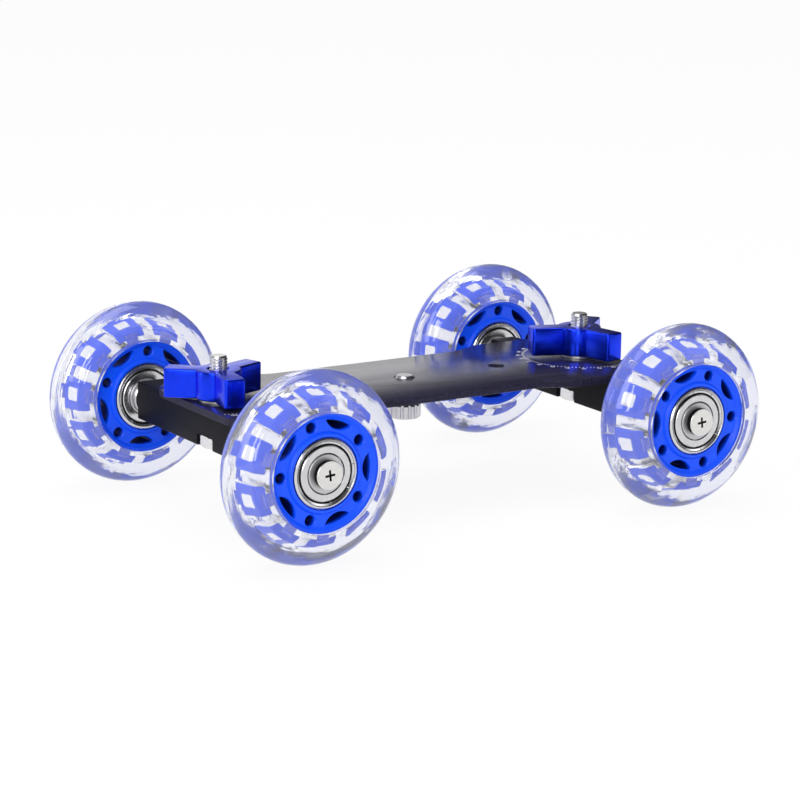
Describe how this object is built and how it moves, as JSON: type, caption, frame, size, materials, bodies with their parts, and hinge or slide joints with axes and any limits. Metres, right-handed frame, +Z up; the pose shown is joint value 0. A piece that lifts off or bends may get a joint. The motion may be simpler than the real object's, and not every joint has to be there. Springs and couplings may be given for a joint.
{
  "type": "camera skater dolly",
  "caption": "Table dolly: a waisted metal deck with a camera screw, on two steering trucks clamped by star knobs, rolling on clear roller wheels with ball bearings.",
  "frame": {"origin": "on the floor under the middle of the deck", "axes": "+X along the deck from the left truck to the right, +Y to the back wheels, +Z up"},
  "size_m": [0.202, 0.14, 0.0614],
  "materials": {
    "black_deck": "black anodised, brushed, glossy",
    "black_bar": "black anodised, glossy",
    "blue_anodised": "blue anodised, satin gloss",
    "blue_core": "moulded, semi-gloss",
    "clear_urethane": "cast, clear",
    "steel": "bright zinc plated",
    "bearing_steel": "ground and polished",
    "black_nylon": "satin"
  },
  "bodies": {
    "deck": {"deck_plate": "black_deck"},
    "camera_washer": {"camera_screw_washer": "black_nylon"},
    "camera_screw": {"camera_screw": "steel"},
    "truck_left": {"truck_bar_left": "black_bar", "pivot_bolt_left": "steel", "outboard_inner_ring_front_left": "bearing_steel", "inboard_inner_ring_front_left": "bearing_steel", "bearing_spacer_front_left": "steel", "axle_spacer_front_left": "steel", "axle_sleeve_front_left": "steel", "axle_screw_front_left": "steel", "outboard_inner_ring_back_left": "bearing_steel", "inboard_inner_ring_back_left": "bearing_steel", "bearing_spacer_back_left": "steel", "axle_spacer_back_left": "steel", "axle_sleeve_back_left": "steel", "axle_screw_back_left": "steel"},
    "knob_washer_left": {"knob_washer_left": "steel"},
    "star_knob_left": {"star_knob_left": "blue_anodised"},
    "truck_right": {"truck_bar_right": "black_bar", "pivot_bolt_right": "steel", "outboard_inner_ring_front_right": "bearing_steel", "inboard_inner_ring_front_right": "bearing_steel", "bearing_spacer_front_right": "steel", "axle_spacer_front_right": "steel", "axle_sleeve_front_right": "steel", "axle_screw_front_right": "steel", "outboard_inner_ring_back_right": "bearing_steel", "inboard_inner_ring_back_right": "bearing_steel", "bearing_spacer_back_right": "steel", "axle_spacer_back_right": "steel", "axle_sleeve_back_right": "steel", "axle_screw_back_right": "steel"},
    "knob_washer_right": {"knob_washer_right": "steel"},
    "star_knob_right": {"star_knob_right": "blue_anodised"},
    "wheel_front_left": {"tyre_front_left": "clear_urethane", "wheel_core_front_left": "blue_core", "outboard_outer_ring_front_left": "bearing_steel", "inboard_outer_ring_front_left": "bearing_steel"},
    "ball_cages_front_left": {"outboard_ball_cage_front_left": "bearing_steel", "inboard_ball_cage_front_left": "bearing_steel"},
    "wheel_back_left": {"tyre_back_left": "clear_urethane", "wheel_core_back_left": "blue_core", "outboard_outer_ring_back_left": "bearing_steel", "inboard_outer_ring_back_left": "bearing_steel"},
    "ball_cages_back_left": {"outboard_ball_cage_back_left": "bearing_steel", "inboard_ball_cage_back_left": "bearing_steel"},
    "wheel_front_right": {"tyre_front_right": "clear_urethane", "wheel_core_front_right": "blue_core", "outboard_outer_ring_front_right": "bearing_steel", "inboard_outer_ring_front_right": "bearing_steel"},
    "ball_cages_front_right": {"outboard_ball_cage_front_right": "bearing_steel", "inboard_ball_cage_front_right": "bearing_steel"},
    "wheel_back_right": {"tyre_back_right": "clear_urethane", "wheel_core_back_right": "blue_core", "outboard_outer_ring_back_right": "bearing_steel", "inboard_outer_ring_back_right": "bearing_steel"},
    "ball_cages_back_right": {"outboard_ball_cage_back_right": "bearing_steel", "inboard_ball_cage_back_right": "bearing_steel"}
  },
  "joints": [
    {"name": "camera_screw_lift", "type": "slide", "parent": "deck", "child": "camera_washer", "axis": [0, 0, 1], "range_m": [0, 0.0046]},
    {"name": "camera_screw_turn", "type": "hinge", "parent": "camera_washer", "child": "camera_screw", "pos_m": [0, 0, 0.031], "axis": [0, 0, 1], "continuous": true},
    {"name": "truck_left_steer", "type": "hinge", "parent": "deck", "child": "truck_left", "pos_m": [-0.07025, 0, 0.037], "axis": [0, 0, 1], "range_deg": [-25, 25]},
    {"name": "knob_left_lift", "type": "slide", "parent": "truck_left", "child": "knob_washer_left", "axis": [0, 0, 1], "range_m": [0, 0.0021]},
    {"name": "knob_left_turn", "type": "hinge", "parent": "knob_washer_left", "child": "star_knob_left", "pos_m": [-0.07025, 0, 0.045], "axis": [0, 0, 1], "range_deg": [0, 720]},
    {"name": "truck_right_steer", "type": "hinge", "parent": "deck", "child": "truck_right", "pos_m": [0.07025, 0, 0.037], "axis": [0, 0, 1], "range_deg": [-25, 25]},
    {"name": "knob_right_lift", "type": "slide", "parent": "truck_right", "child": "knob_washer_right", "axis": [0, 0, 1], "range_m": [0, 0.0021]},
    {"name": "knob_right_turn", "type": "hinge", "parent": "knob_washer_right", "child": "star_knob_right", "pos_m": [0.07025, 0, 0.045], "axis": [0, 0, 1], "range_deg": [0, 720]},
    {"name": "wheel_front_left_roll", "type": "hinge", "parent": "truck_left", "child": "wheel_front_left", "pos_m": [-0.07025, -0.0584, 0.0307], "axis": [0, 1, 0], "continuous": true},
    {"name": "ball_cages_front_left_roll", "type": "hinge", "parent": "truck_left", "child": "ball_cages_front_left", "pos_m": [-0.07025, -0.0584, 0.0307], "axis": [0, 1, 0], "continuous": true},
    {"name": "wheel_back_left_roll", "type": "hinge", "parent": "truck_left", "child": "wheel_back_left", "pos_m": [-0.07025, 0.0584, 0.0307], "axis": [0, 1, 0], "continuous": true},
    {"name": "ball_cages_back_left_roll", "type": "hinge", "parent": "truck_left", "child": "ball_cages_back_left", "pos_m": [-0.07025, 0.0584, 0.0307], "axis": [0, 1, 0], "continuous": true},
    {"name": "wheel_front_right_roll", "type": "hinge", "parent": "truck_right", "child": "wheel_front_right", "pos_m": [0.07025, -0.0584, 0.0307], "axis": [0, 1, 0], "continuous": true},
    {"name": "ball_cages_front_right_roll", "type": "hinge", "parent": "truck_right", "child": "ball_cages_front_right", "pos_m": [0.07025, -0.0584, 0.0307], "axis": [0, 1, 0], "continuous": true},
    {"name": "wheel_back_right_roll", "type": "hinge", "parent": "truck_right", "child": "wheel_back_right", "pos_m": [0.07025, 0.0584, 0.0307], "axis": [0, 1, 0], "continuous": true},
    {"name": "ball_cages_back_right_roll", "type": "hinge", "parent": "truck_right", "child": "ball_cages_back_right", "pos_m": [0.07025, 0.0584, 0.0307], "axis": [0, 1, 0], "continuous": true}
  ],
  "couplings": [
    {"joint": "camera_screw_turn", "follows": "camera_screw_lift", "rad_per_m": 4947.4},
    {"joint": "knob_left_lift", "follows": "knob_left_turn", "m_per_rad": 0.00015915},
    {"joint": "knob_right_lift", "follows": "knob_right_turn", "m_per_rad": 0.00015915},
    {"joint": "ball_cages_front_left_roll", "follows": "wheel_front_left_roll", "ratio": 0.626},
    {"joint": "ball_cages_back_left_roll", "follows": "wheel_back_left_roll", "ratio": 0.626},
    {"joint": "ball_cages_front_right_roll", "follows": "wheel_front_right_roll", "ratio": 0.626},
    {"joint": "ball_cages_back_right_roll", "follows": "wheel_back_right_roll", "ratio": 0.626}
  ]
}
